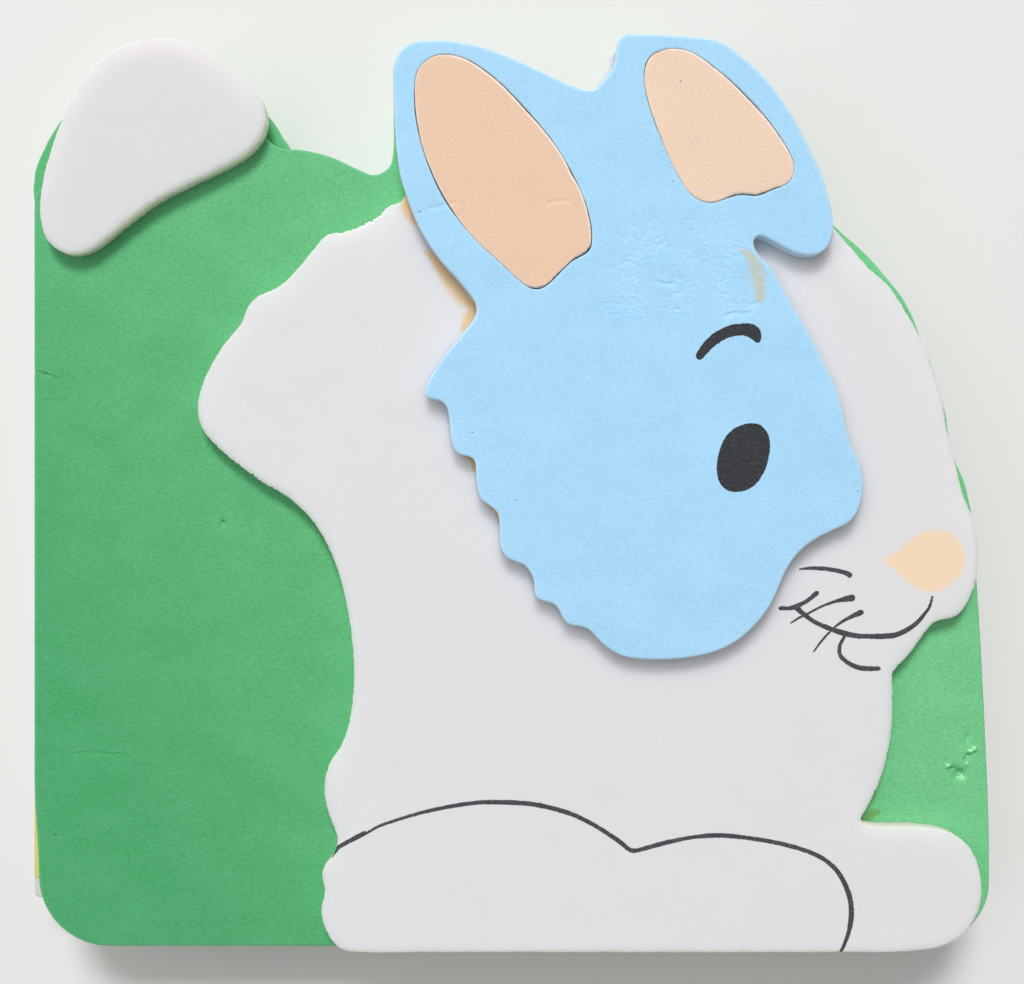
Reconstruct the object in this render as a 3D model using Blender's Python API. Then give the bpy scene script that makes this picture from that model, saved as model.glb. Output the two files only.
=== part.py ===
"""Soft board book for a small child, die-cut from foam sheet in the outline of a seated rabbit.

Two covers and four leaves are bound along a straight spine on the left. The front cover carries the
rabbit in raised layers: a tail and a body, then a head over the body with two ear linings let into it.
The book lies closed on its back cover. X runs across the book, Y up the page and Z through the stack.
"""

import math

import bmesh
import bpy
from mathutils import Vector, geometry

MM = 0.001

# Sheet and covers
COVER_WIDTH = 150.0 * MM
COVER_HEIGHT = 140.3 * MM
SHEET_THICKNESS = 2.8 * MM
SHEET_GAP = 0.3 * MM
SPINE_CORNER_RADIUS = 11.0 * MM
FORE_CORNER_RADIUS = 9.5 * MM
# The spine edge is worn inward by this much over the stretch above its lower corner.
SPINE_EASE = 0.7 * MM
SPINE_EASE_LENGTH = 15.0 * MM

# Ear linings: the mean gap round them, and how far they lie off the middle of their holes
INLAY_GAP = 0.4 * MM
INLAY_SHIFT = (-0.15 * MM, -0.1 * MM)

# Binding, top leaf first: how far each leaf's spine edge stands out from the front cover's. Two leaves
# keep a straight edge down to a square end, at a height above the foot; the others are eased in.
LEAF_SPINE_STEPS = [0.8 * MM, 2.15 * MM, 3.2 * MM, 2.0 * MM]
LEAF_SQUARE_ENDS = [None, 8.8 * MM, 4.9 * MM, None]
BACK_COVER_STEP = 0.8 * MM
GLUE_SEAM_WIDTH = 5.0 * MM
GLUE_SEAM_RECESS = 0.7 * MM
GLUE_SEAM_END = 16.0 * MM
HINGE_CLEARANCE = 0.4 * MM

# How finely curves are cut
CURVE_TOLERANCE = 0.05 * MM
ARC_STEP = math.radians(9.0)

# Outlines are drawn in millimetres on the front cover's own plan, from a point near its middle.
SPINE_X = -75.0
SPINE_TOP_Y = 46.6
FOOT_Y = -71.3

# From the right side of the foot, round the rabbit's back and over both ears, to the dip beside the tail.
COVER_RIGHT_SIDE = [
    (74.9, -56.0), (74.8, -50.4), (74.4, -40.3), (73.7, -26.0), (72.9, -13.0), (72.0, -2.5),
    (69.6, 6.4), (67.8, 13.3), (65.6, 20.6), (61.7, 29.0), (58.9, 33.5), (55.6, 37.3), (51.6, 40.9),
    (48.6, 43.9), (46.7, 47.6), (44.4, 53.0), (41.2, 58.4), (38.0, 62.7), (34.4, 66.2), (30.9, 68.4),
    (26.3, 69.0), (18.6, 69.0), (16.2, 67.3), (13.9, 62.0), (12.2, 60.9), (9.6, 61.1), (5.7, 62.9),
    (0.8, 65.2), (-3.9, 67.2), (-8.0, 68.1), (-13.1, 68.3), (-16.6, 67.2), (-18.3, 64.4), (-18.6, 59.5),
    (-18.6, 53.9), (-19.3, 51.0), (-21.6, 49.8), (-24.4, 50.8), (-28.5, 52.7), (-33.3, 53.8),
]
# The front cover stays inside the tail piece; the leaves run out round it in a bump of their own.
COVER_TAIL_BUMP = [
    (-36.4, 54.0), (-39.6, 56.6), (-43.6, 61.2), (-50.5, 65.8), (-56.4, 67.2), (-62.0, 65.0),
    (-66.6, 59.6), (-69.4, 52.6), (-71.6, 48.8), (-74.0, 47.7),
]
LEAF_TAIL_BUMP = [
    (-35.6, 54.8), (-38.2, 59.3), (-43.8, 64.0), (-50.2, 67.8), (-56.4, 68.9), (-63.0, 67.2),
    (-68.6, 63.0), (-72.4, 58.4), (-74.7, 54.2), (-75.4, 50.6),
]

TAIL_OUTLINE = [
    (-54.9, 70.3), (-59.2, 69.6), (-62.8, 67.7), (-66.4, 63.9), (-69.2, 58.7), (-71.4, 52.9),
    (-72.9, 46.5), (-72.9, 41.7), (-71.4, 38.3), (-68.4, 36.8), (-65.2, 37.5), (-60.7, 40.9),
    (-55.0, 45.1), (-48.3, 48.5), (-42.7, 51.2), (-39.3, 54.1), (-37.9, 57.9), (-39.6, 62.2),
    (-44.4, 66.2), (-49.9, 69.6),
]

# Down the rump in shaggy steps, along the foot, then up past paw, chest, chin, nose and forehead, and
# under the head out to the ears.
BODY_OUTLINE = [
    (-17.0, 45.2), (-19.0, 44.4), (-21.3, 42.5), (-25.4, 40.6), (-28.8, 39.9), (-30.3, 38.2),
    (-33.4, 34.4), (-36.0, 31.9), (-39.6, 30.2), (-41.0, 28.6), (-42.0, 26.0), (-44.4, 23.2),
    (-47.6, 17.6), (-48.7, 13.4), (-48.0, 9.8), (-45.2, 6.5), (-38.7, 1.4), (-34.4, -1.1),
    (-30.6, -4.9), (-27.4, -11.0), (-25.3, -19.3), (-24.5, -28.7), (-25.3, -35.9), (-26.4, -39.1),
    (-28.5, -42.5), (-29.1, -46.4), (-28.3, -50.2), (-27.1, -53.5), (-27.6, -55.9), (-29.5, -58.7),
    (-29.0, -61.8), (-29.6, -65.0), (-28.6, -68.4), (-26.6, -70.8), (-23.0, -71.3), (-12.0, -71.3),
    (50.0, -71.3), (60.8, -71.2), (65.4, -70.5), (69.4, -68.1), (71.9, -64.0), (72.5, -59.4),
    (71.1, -55.3), (67.6, -52.5), (62.4, -51.5), (55.6, -51.5), (54.0, -50.9), (55.2, -48.6),
    (57.2, -44.4), (58.7, -37.6), (59.0, -31.6), (59.1, -28.0), (61.4, -25.4), (63.8, -22.0),
    (65.4, -20.2), (69.0, -19.1), (71.3, -15.4), (72.2, -10.5), (71.5, -4.6), (69.7, 0.0),
    (67.9, 7.6), (65.7, 14.2), (62.6, 23.2), (58.6, 30.0), (54.7, 35.3), (50.6, 40.0), (47.9, 43.4),
    (46.4, 47.0), (44.0, 52.4), (40.6, 58.1), (34.0, 65.5), (30.6, 67.7), (26.2, 68.5), (18.4, 68.6),
    (15.4, 67.9), (13.9, 65.2), (12.9, 61.6), (11.4, 60.4), (5.5, 62.2), (-3.9, 66.5), (-12.8, 67.6),
    (-16.6, 64.3), (-16.9, 58.0), (-16.3, 50.4),
]

# Round both ears, down the face to the cheek and chin, and back up the shaggy fur of the neck. A lining
# lies in a hole through each ear.
HEAD_OUTLINE = [
    (-18.1, 60.6), (-18.0, 65.2), (-16.4, 68.0), (-13.1, 68.9), (-8.3, 68.7), (-3.8, 67.7),
    (0.9, 65.8), (5.9, 63.5), (9.8, 61.7), (12.6, 61.4), (14.2, 63.3), (16.2, 68.3), (18.4, 69.6),
    (26.5, 69.5), (31.5, 68.8), (34.9, 66.6), (38.7, 63.0), (41.9, 58.7), (45.2, 52.8), (47.6, 47.3),
    (48.9, 41.8), (48.6, 38.0), (46.6, 36.2), (43.6, 36.3), (39.6, 38.3), (37.6, 39.1), (36.8, 38.2),
    (37.8, 35.9), (39.4, 34.4), (41.9, 29.9), (45.0, 24.7), (47.5, 19.7), (49.5, 15.6), (50.5, 12.0),
    (51.3, 8.0), (52.9, 4.6), (53.6, 1.3), (53.0, -2.3), (51.5, -4.6), (48.9, -5.9), (45.8, -7.5),
    (43.4, -9.6), (41.9, -11.8), (40.7, -14.5), (39.4, -17.3), (37.2, -20.2), (34.7, -22.5),
    (31.5, -24.2), (27.0, -25.3), (21.5, -25.6), (16.7, -25.0), (13.7, -23.1), (11.4, -20.8),
    (8.5, -20.2), (7.4, -18.6), (6.7, -17.3), (3.6, -16.1), (3.3, -13.4), (1.9, -11.2), (-0.4, -10.3),
    (-1.7, -8.8), (-1.9, -5.6), (-2.2, -3.2), (-4.9, -0.9), (-5.5, 2.6), (-5.8, 5.0), (-8.4, 5.9),
    (-9.3, 7.9), (-9.7, 12.0), (-10.5, 13.7), (-13.2, 14.5), (-13.0, 16.4), (-10.6, 20.4), (-7.6, 24.1),
    (-5.6, 26.9), (-5.5, 28.6), (-8.1, 32.2), (-11.0, 35.4), (-13.1, 38.4), (-14.8, 41.6), (-16.0, 44.8),
    (-17.1, 48.4), (-17.7, 53.0),
]

LEFT_EAR_HOLE = [
    (-14.9, 60.2), (-14.3, 64.5), (-11.6, 66.6), (-7.8, 66.4), (-3.0, 63.5), (1.8, 58.8), (6.0, 53.8),
    (9.1, 48.8), (11.3, 43.9), (12.2, 39.4), (11.8, 36.8), (9.2, 35.2), (7.3, 33.4), (5.2, 31.4),
    (3.2, 30.9), (-2.4, 35.5), (-6.2, 39.1), (-10.4, 44.7), (-13.1, 50.7), (-14.5, 55.9),
]

RIGHT_EAR_HOLE = [
    (20.1, 63.6), (20.9, 66.3), (23.7, 67.6), (27.1, 67.2), (30.3, 65.2), (34.0, 62.2), (38.2, 57.8),
    (41.4, 53.4), (43.0, 49.8), (42.4, 47.4), (39.6, 46.0), (37.2, 45.1), (34.8, 45.3), (32.6, 44.7),
    (30.2, 44.0), (27.5, 45.1), (25.1, 48.6), (22.8, 53.6), (20.7, 59.4),
]

# Foam colours, as red, green and blue out of 255
GREEN_FOAM = (100, 184, 128)
WHITE_FOAM = (226, 224, 226)
BLUE_FOAM = (170, 215, 246)
PEACH_FOAM = (234, 204, 180)
FOAM_ROUGHNESS = 0.85

ACROSS = COVER_WIDTH / (COVER_RIGHT_SIDE[0][0] - SPINE_X)
UPWARD = COVER_HEIGHT / (max(y for x, y in COVER_RIGHT_SIDE) - FOOT_Y)
SHEET_STEP = SHEET_THICKNESS + SHEET_GAP


def scaled(points):
    """Drawn millimetres to metres on the real cover."""
    return [Vector((x * ACROSS, y * UPWARD)) for x, y in points]


def arc(centre, radius, start_degrees, end_degrees):
    """Points along a round corner, from one angle to the other."""
    start = math.radians(start_degrees)
    sweep = math.radians(end_degrees) - start
    count = math.ceil(abs(sweep) / ARC_STEP)
    angles = [start + sweep * i / count for i in range(count + 1)]
    return [centre + radius * Vector((math.cos(a), math.sin(a))) for a in angles]


def bezier(start, first, second, end):
    """Points of a Bezier curve without its end, as few as keep it within the curve tolerance."""
    bend = max((start - 2 * first + second).length, (first - 2 * second + end).length)
    steps = max(1, math.ceil(math.sqrt(0.75 * bend / CURVE_TOLERANCE)))
    return list(geometry.interpolate_bezier(start, first, second, end, steps + 1))[:-1]


def stretch(before, start, end, after):
    """The smooth curve from start to end whose slopes there follow the points beside it."""
    a = math.sqrt((start - before).length)
    b = math.sqrt((end - start).length)
    c = math.sqrt((after - end).length)
    first = (a * a * end - b * b * before + (2 * a * a + 3 * a * b + b * b) * start) / (3 * a * (a + b))
    second = (c * c * start - b * b * after + (2 * c * c + 3 * c * b + b * b) * end) / (3 * c * (c + b))
    return bezier(start, first, second, end)


def smooth_loop(points):
    """A closed smooth curve through all the points."""
    count = len(points)
    loop = []
    for i in range(count):
        loop += stretch(points[i - 1], points[i], points[(i + 1) % count], points[(i + 2) % count])
    return loop


def smooth_run(points):
    """An open smooth curve through the points, without its last one."""
    ahead = [2 * points[0] - points[1]] + points + [2 * points[-1] - points[-2]]
    run = []
    for i in range(1, len(ahead) - 2):
        run += stretch(ahead[i - 1], ahead[i], ahead[i + 1], ahead[i + 2])
    return run


def anticlockwise(loop):
    """The same loop, turned round if it runs clockwise."""
    doubled_area = sum(a.cross(b) for a, b in zip(loop, loop[1:] + loop[:1]))
    return loop if doubled_area > 0 else loop[::-1]


def inlay(hole):
    """Outline of the piece let into a hole: smaller by the gap, and lying a little down and to the left."""
    count = len(hole)
    shift = Vector(INLAY_SHIFT)
    moved = []
    for i in range(count):
        along = (hole[(i + 1) % count] - hole[i - 1]).normalized()
        moved.append(hole[i] + INLAY_GAP * Vector((-along.y, along.x)) + shift)
    return moved


def eased_spine(top, corner):
    """Down a straight spine that bends in gently to meet its lower corner."""
    bend_start = Vector((top.x, corner[0].y + SPINE_EASE_LENGTH))
    third = Vector((0.0, SPINE_EASE_LENGTH / 3))
    return [top] + bezier(bend_start, bend_start - third, corner[0] + third, corner[0]) + corner


def square_spine(top, corner, end_y):
    """Down a straight spine to a square end, and in to the lower corner."""
    kept = [p for p in corner if p.y < end_y - CURVE_TOLERANCE]
    return [top, Vector((top.x, end_y)), Vector((kept[0].x, end_y))] + kept


def book_outline(tail_bump, spine_step, square_end):
    """Outline of a cover or a leaf: the rabbit's back and ears, its tail bump and a straight spine."""
    foot_y = FOOT_Y * UPWARD
    fore_edge = COVER_RIGHT_SIDE[0][0] * ACROSS
    fore_centre = Vector((fore_edge - FORE_CORNER_RADIUS, foot_y + FORE_CORNER_RADIUS))
    fore_corner = arc(fore_centre, FORE_CORNER_RADIUS, 270.0, 360.0)
    corner_left = SPINE_X * ACROSS + SPINE_EASE
    spine_centre = Vector((corner_left + SPINE_CORNER_RADIUS, foot_y + SPINE_CORNER_RADIUS))
    spine_corner = arc(spine_centre, SPINE_CORNER_RADIUS, 180.0, 270.0)
    spine_top = Vector((SPINE_X * ACROSS - spine_step, SPINE_TOP_Y * UPWARD))
    rabbit = smooth_run([fore_corner[-1]] + scaled(COVER_RIGHT_SIDE + tail_bump) + [spine_top])
    if square_end is None:
        spine = eased_spine(spine_top, spine_corner)
    else:
        spine = square_spine(spine_top, spine_corner, foot_y + square_end)
    return anticlockwise(fore_corner[:-1] + rabbit + spine)


def foam(name, colour):
    """A matt foam material of one colour."""
    material = bpy.data.materials.new(name)
    material.use_nodes = True
    shader = material.node_tree.nodes["Principled BSDF"]
    linear = [((c / 255.0 + 0.055) / 1.055) ** 2.4 for c in colour]
    shader.inputs["Base Color"].default_value = (*linear, 1.0)
    shader.inputs["Roughness"].default_value = FOAM_ROUGHNESS
    shader.inputs["Metallic"].default_value = 0.0
    return material


def add_object(name, bm, material):
    """Put finished geometry into the scene under its node's name."""
    mesh = bpy.data.meshes.new(name)
    bm.to_mesh(mesh)
    bm.free()
    mesh.materials.append(material)
    piece = bpy.data.objects.new(name, mesh)
    bpy.context.scene.collection.objects.link(piece)
    return piece


def cut_sheet(name, loops, bottom, material):
    """One piece cut from flat sheet: the first loop is its outline, the others are holes through it."""
    bm = bmesh.new()
    for loop in loops:
        verts = [bm.verts.new((p.x, p.y, bottom)) for p in loop]
        for a, b in zip(verts, verts[1:] + verts[:1]):
            bm.edges.new((a, b))
    if len(loops) == 1:
        bm.faces.new(bm.verts[:])
    else:
        bmesh.ops.triangle_fill(bm, use_beauty=True, edges=bm.edges[:])
    raised = bmesh.ops.extrude_face_region(bm, geom=bm.faces[:])
    top = [v for v in raised["geom"] if isinstance(v, bmesh.types.BMVert)]
    bmesh.ops.translate(bm, verts=top, vec=(0.0, 0.0, SHEET_THICKNESS))
    bmesh.ops.recalc_face_normals(bm, faces=bm.faces[:])
    return add_object(name, bm, material)


def block(name, low, high, material):
    """A plain block between two corners."""
    bm = bmesh.new()
    bmesh.ops.create_cube(bm, size=1.0)
    for v in bm.verts:
        v.co = [low[i] if v.co[i] < 0 else high[i] for i in range(3)]
    return add_object(name, bm, material)


def fuse(target, other):
    """Join another solid to the target, and keep it only as a guide."""
    union = target.modifiers.new(other.name, "BOOLEAN")
    union.operation = "UNION"
    union.object = other
    other.hide_render = True
    other.display_type = "WIRE"


def build_pages(loops, bottom, spine_x, foot_y, spine_top_y, material):
    """The block of leaves, top leaf first, joined along the spine by a recessed seam of glue."""
    levels = [bottom + i * SHEET_STEP for i in reversed(range(len(loops)))]
    pages = cut_sheet("pages", [loops[0]], levels[0], material)
    half = SHEET_THICKNESS / 2
    low = (spine_x + GLUE_SEAM_RECESS, foot_y + GLUE_SEAM_END, levels[-1] + half)
    high = (spine_x + GLUE_SEAM_RECESS + GLUE_SEAM_WIDTH, spine_top_y, levels[0] + half)
    fuse(pages, block("glue_seam", low, high, material))
    for i in range(1, len(loops)):
        fuse(pages, cut_sheet(f"leaf_{i + 1}", [loops[i]], levels[i], material))
    return pages


def hang_on(pieces, name, x, z):
    """Parent the pieces to an empty on a hinge line that runs along Y."""
    hinge = bpy.data.objects.new(name, None)
    hinge.location = (x, 0.0, z)
    bpy.context.scene.collection.objects.link(hinge)
    for piece in pieces:
        piece.parent = hinge
        piece.location = (-x, 0.0, -z)


for old in list(bpy.data.objects):
    bpy.data.objects.remove(old, do_unlink=True)

leaf_count = len(LEAF_SPINE_STEPS)
leaf_names = [f"leaf {i + 1}" for i in range(leaf_count)]
outlines = {
    "front cover": book_outline(COVER_TAIL_BUMP, 0.0, None),
    "back cover": book_outline(LEAF_TAIL_BUMP, BACK_COVER_STEP, None),
    "tail": anticlockwise(smooth_loop(scaled(TAIL_OUTLINE))),
    "body": anticlockwise(smooth_loop(scaled(BODY_OUTLINE))),
    "head": anticlockwise(smooth_loop(scaled(HEAD_OUTLINE))),
    "left hole": anticlockwise(smooth_loop(scaled(LEFT_EAR_HOLE))),
    "right hole": anticlockwise(smooth_loop(scaled(RIGHT_EAR_HOLE))),
}
for leaf, step, square_end in zip(leaf_names, LEAF_SPINE_STEPS, LEAF_SQUARE_ENDS):
    outlines[leaf] = book_outline(LEAF_TAIL_BUMP, step, square_end)

# The origin lies under the middle of the box round the whole book.
corners = [p for outline in outlines.values() for p in outline]
middle_x = (min(p.x for p in corners) + max(p.x for p in corners)) / 2
middle_y = (min(p.y for p in corners) + max(p.y for p in corners)) / 2
for name, outline in outlines.items():
    outlines[name] = [p - Vector((middle_x, middle_y)) for p in outline]
spine_x = SPINE_X * ACROSS - middle_x
foot_y = FOOT_Y * UPWARD - middle_y
spine_top_y = SPINE_TOP_Y * UPWARD - middle_y

green = foam("green_foam", GREEN_FOAM)
white = foam("white_foam", WHITE_FOAM)
blue = foam("blue_foam", BLUE_FOAM)
peach = foam("peach_foam", PEACH_FOAM)

pages_bottom = SHEET_STEP
cover_bottom = pages_bottom + leaf_count * SHEET_STEP
body_bottom = cover_bottom + SHEET_STEP
head_bottom = body_bottom + SHEET_STEP

back_cover = cut_sheet("back_cover", [outlines["back cover"]], 0.0, green)
leaves = [outlines[leaf] for leaf in leaf_names]
build_pages(leaves, pages_bottom, spine_x, foot_y, spine_top_y, green)
front_pieces = [
    cut_sheet("front_cover", [outlines["front cover"]], cover_bottom, green),
    cut_sheet("rabbit_tail", [outlines["tail"]], body_bottom, white),
    cut_sheet("rabbit_body", [outlines["body"]], body_bottom, white),
    cut_sheet(
        "rabbit_head", [outlines["head"], outlines["left hole"], outlines["right hole"]], head_bottom, blue
    ),
    cut_sheet("left_ear_inlay", [inlay(outlines["left hole"])], head_bottom, peach),
    cut_sheet("right_ear_inlay", [inlay(outlines["right hole"])], head_bottom, peach),
]

# Each cover turns about a line just outside its spine edge, level with its inner face, so that it folds
# back beside the leaf that stands out next to it.
front_overhang = LEAF_SPINE_STEPS[0]
back_overhang = LEAF_SPINE_STEPS[-1] - BACK_COVER_STEP
front_hinge_x = spine_x - (front_overhang + HINGE_CLEARANCE) / 2
back_hinge_x = spine_x - BACK_COVER_STEP - (back_overhang + HINGE_CLEARANCE) / 2
hang_on(front_pieces, "front_hinge", front_hinge_x, cover_bottom)
hang_on([back_cover], "back_hinge", back_hinge_x, SHEET_THICKNESS)
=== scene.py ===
"""Looks of the soft board book: foam sheets with cut edges, print, glue marks and wear.

Each sheet keeps the outline, place and thickness of its solid. Marks seen in the photograph are placed by
their position in its 1024 x 984 frame and lie on the sheet that carries them.
"""

import math

import bmesh
import bpy
import numpy as np
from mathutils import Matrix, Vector, geometry, noise


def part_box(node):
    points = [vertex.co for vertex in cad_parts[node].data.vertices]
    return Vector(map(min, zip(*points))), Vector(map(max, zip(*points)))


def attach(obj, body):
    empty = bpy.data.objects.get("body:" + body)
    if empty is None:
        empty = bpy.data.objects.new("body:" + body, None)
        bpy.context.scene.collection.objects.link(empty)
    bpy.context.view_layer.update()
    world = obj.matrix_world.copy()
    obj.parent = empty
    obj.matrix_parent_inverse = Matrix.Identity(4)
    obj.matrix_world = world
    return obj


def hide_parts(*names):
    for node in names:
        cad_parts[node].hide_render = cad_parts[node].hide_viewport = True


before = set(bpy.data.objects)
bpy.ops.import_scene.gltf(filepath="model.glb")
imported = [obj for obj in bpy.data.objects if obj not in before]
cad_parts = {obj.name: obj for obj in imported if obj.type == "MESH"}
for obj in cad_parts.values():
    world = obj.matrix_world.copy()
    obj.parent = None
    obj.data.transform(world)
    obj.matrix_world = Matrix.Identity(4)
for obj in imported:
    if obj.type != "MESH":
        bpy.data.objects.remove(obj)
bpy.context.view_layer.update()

MM = 0.001

# The camera looks straight down on the book
IMAGE_WIDTH = 1024
IMAGE_HEIGHT = 984
FOCAL_PIXELS = 1351.0
SENSOR_WIDTH_MM = 36.0
VIEW_X = 1.65 * MM
VIEW_Y = 0.541 * MM
VIEW_ABOVE_COVER = 212.0 * MM

# Heights of the sheets, from the solids
COVER_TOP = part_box("front_cover")[1].z
BODY_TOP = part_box("rabbit_body")[1].z
HEAD_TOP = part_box("rabbit_head")[1].z
COVER_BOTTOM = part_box("front_cover")[0].z
PAGES_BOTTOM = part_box("pages")[0].z
BACK_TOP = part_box("back_cover")[1].z
SHEET = BACK_TOP
STEP = PAGES_BOTTOM
CAMERA_Z = COVER_TOP + VIEW_ABOVE_COVER
# Where a solid is cut for its outline, as a share of its height
CUT_SHARE = 0.3

# Colours as red, green and blue out of 255
GREEN = (79, 169, 111)
# A paler green, painted as a sheen of light towards the fore edge and the head
GREEN_PAINTED_SHEEN = (117, 201, 141)
# Cut edge colours are paler: partly the cut foam's own colour, partly a painted highlight along the rims
GREEN_EDGE_AND_HIGHLIGHT = (128, 206, 156)
WHITE = (226, 225, 227)
WHITE_EDGE = (232, 228, 217)
# A little darker than the body's white: painted shade, as the light falls off towards the spine side
WHITE_SHADED_TAIL = (222, 220, 222)
# A greyer white for the white leaf: partly dirt, partly painted shade under the cover's edge
WHITE_DIRT_AND_SHADE = (208, 209, 201)
BLUE = (171, 219, 250)
BLUE_EDGE = (212, 231, 246)
PEACH = (236, 202, 175)
PEACH_PALE = (240, 211, 187)
# Peach for the linings' cut edges, also painted as a highlight along their lit rims
PEACH_EDGE_AND_HIGHLIGHT = (253, 238, 228)
YELLOW = (218, 202, 120)
INK = (50, 51, 55)
PEN = (66, 66, 72)
NOSE = (244, 217, 187)
GLUE = (238, 198, 142)
BLUE_STAIN = (198, 200, 182)
OLIVE_STAIN = (104, 158, 78)
SEAM_GLUE = (206, 190, 150)
SPECK = (138, 146, 168)
GREEN_SPECK = (62, 118, 80)
# A painted highlight for the lit walls of the cover's dents
GREEN_PAINTED_HIGHLIGHT = (160, 236, 164)

# Outlines and strokes, as pixels of the photograph's frame; a stroke's third number is its width
EYE = [
    (749.2, 423.3), (760, 425), (766.7, 431.7), (770, 441.7), (769.2, 455), (765, 470), (756.7, 483.3),
    (746.7, 490), (736.7, 492), (726.7, 490), (719.2, 481.7), (716.7, 468.3), (719.2, 451.7), (725.8, 436.7),
    (735.8, 427.5),
]
BROW = [
    (696.4, 353.6), (704, 342.3), (714.4, 332.8), (728.3, 325.8), (740, 323.7), (751.7, 323.8), (758.3, 327.5),
    (761.3, 333.3), (760.8, 340), (757.5, 343), (751.7, 339.2), (744.2, 335.8), (733.3, 336.4), (723.3, 340.2),
    (712.6, 348), (705.6, 355.4), (701, 359.6), (697, 358.6),
]
NOSE_EDGE = [
    (884.5, 560.8), (897, 551.7), (908.7, 541.7), (922, 532.5), (935.3, 530), (947, 531.7), (957, 538.3),
    (963.7, 550), (965.3, 561.7), (961.2, 573.3), (952, 583.3), (940.3, 590.8), (928.7, 592), (917, 588.3),
    (905.3, 580), (895.3, 570),
]
FACE_STROKES = [
    [
        (932.3, 597, 2.2), (929.5, 606.7, 3), (923.7, 615, 3.6), (915.3, 624.2, 4.6), (905.3, 630.8, 5),
        (895.3, 635, 5.6), (885.3, 636.2, 5.6), (870, 636.4, 5.2), (858, 636, 5.2), (846.8, 634, 5.8),
        (830.8, 629, 5), (814.8, 622, 4.4), (804.8, 615, 4.8), (796.8, 608, 5.6),
    ],
    [(780.8, 608.4, 4.4), (788, 608.2, 4), (794.8, 607, 5), (806.8, 601, 4.2), (816.8, 593, 4.8)],
    [
        (790.8, 623, 1.4), (798.8, 618, 2.6), (808.8, 613, 2.4), (822.8, 606, 2.4), (836.8, 601, 3.6),
        (846, 599, 6), (851.8, 598, 7.2),
    ],
    [
        (813.8, 651.6, 1.6), (820.8, 642, 2.2), (828.8, 633, 2.2), (838.8, 624, 2.6), (848.8, 618, 3.8),
        (860.8, 612.4, 6),
    ],
    [(799.8, 569.2, 1.6), (810.8, 568.2, 3.6), (826.8, 569, 4.4), (842.8, 572, 4.6), (849.8, 575, 5.4)],
    [
        (844.8, 636, 3.2), (839.8, 646, 3.8), (840.2, 655, 4), (846.8, 662, 4.4), (856.8, 667, 4.6),
        (866.8, 668.6, 5), (878.8, 668.6, 4.4),
    ],
]
HAUNCH_STROKES = [
    [(332, 857, 1.6), (335.6, 851.4, 3.2), (340, 846.4, 4.2), (351.5, 840, 4.4), (364.3, 833.2, 5)],
    [
        (366, 833.6, 2.4), (380, 825.8, 3), (405.8, 817.2, 3.2), (434.4, 809.6, 3.8), (471.6, 803.2, 4.2),
        (497.3, 802.2, 4.8), (526, 803.5, 4.8), (548.8, 807.4, 4.8), (571.7, 814.2, 4.6), (590, 822.8, 4.4),
        (606, 832.4, 4.4), (620, 842, 4.6), (629, 849.4, 4.4), (636, 850.6, 4.4), (645, 848.4, 4.4),
        (664.9, 842.9, 4.6), (690.7, 837.6, 4), (716.4, 835.4, 4.8), (745, 837.6, 4.2), (773.6, 842.2, 4.6),
        (799.4, 848.6, 4.4), (819.4, 856.6, 4.6), (833.7, 867.2, 4.6), (843.7, 881.5, 5), (849.8, 898, 5.2),
        (851.4, 913, 5.2), (849.2, 930, 4.6), (844.4, 944.4, 3.6), (839, 956, 2.4),
    ],
]

# Glue marks: strokes whose colour fades out sideways
BODY_GLUE = [
    [(404, 196, 11), (408, 208, 15), (415, 221, 9)],
    [(425, 251, 3), (433, 257, 9), (443, 270, 14), (456, 288, 17), (466, 301, 14), (473, 305, 8)],
    [(475, 308, 11), (470.5, 318, 17), (464, 328, 8)],
    [(464, 456, 4), (472, 460, 6), (474, 470, 5)],
    [(488, 505, 4), (496, 510, 6), (500, 522, 5)],
]
HEAD_STAIN = [[(741, 250, 4), (750, 256, 10), (756, 268, 15), (759, 284, 13), (760, 298, 10)]]
COVER_STAIN = [[(866, 820, 8), (872, 814, 10), (878, 812, 6)]]

# Creases: points, then width and depth in millimetres
COVER_CREASES = [
    ([(71.3, 753.6), (78, 752.8), (84.9, 752.4), (96.3, 753), (108, 753.4), (119, 753.9)], 0.16, 0.1),
    ([
        (36.7, 507.9), (43.1, 513.6), (47.4, 518.6), (50.3, 525.7), (51, 532), (50.3, 538.6), (47.4, 547.9),
        (42.4, 553.6),
    ], 0.22, 0.05),
    ([(33, 370.3), (40, 372), (45.9, 373.9), (57.3, 378.1)], 0.16, 0.16),
    ([(38, 401.4), (52, 400), (67.3, 399.3)], 0.2, 0.06),
    ([(334, 175), (340, 176.4), (346, 172.6)], 0.2, 0.09),
]
BODY_CREASES = [([(345, 840), (358, 812), (378, 786), (400, 760)], 0.3, 0.13)]
HEAD_CREASES = [
    ([(431, 207.8), (438.3, 206.2), (447, 204)], 0.2, 0.22),
    ([(612, 200), (640, 189), (670, 175)], 0.3, 0.03),
    ([(657, 281.4), (665, 283.6), (673, 283.2)], 0.2, 0.2),
    ([(726, 315), (733, 312.6), (741, 313.4), (750, 312.2)], 0.2, 0.2),
    ([(633, 264), (640, 266.6), (649, 265.4)], 0.2, 0.06),
    ([(602, 303.4), (612, 302.6), (622, 303.6), (635, 303)], 0.2, 0.08),
    ([(744, 302), (750, 304), (757, 302)], 0.2, 0.14),
]
LEFT_LINING_CREASES = [
    ([(440, 205.8), (447, 204), (456, 201.8)], 0.2, 0.2),
    ([(547.2, 202.9), (556, 200.4), (568.3, 200.2)], 0.2, 0.2),
]

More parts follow.
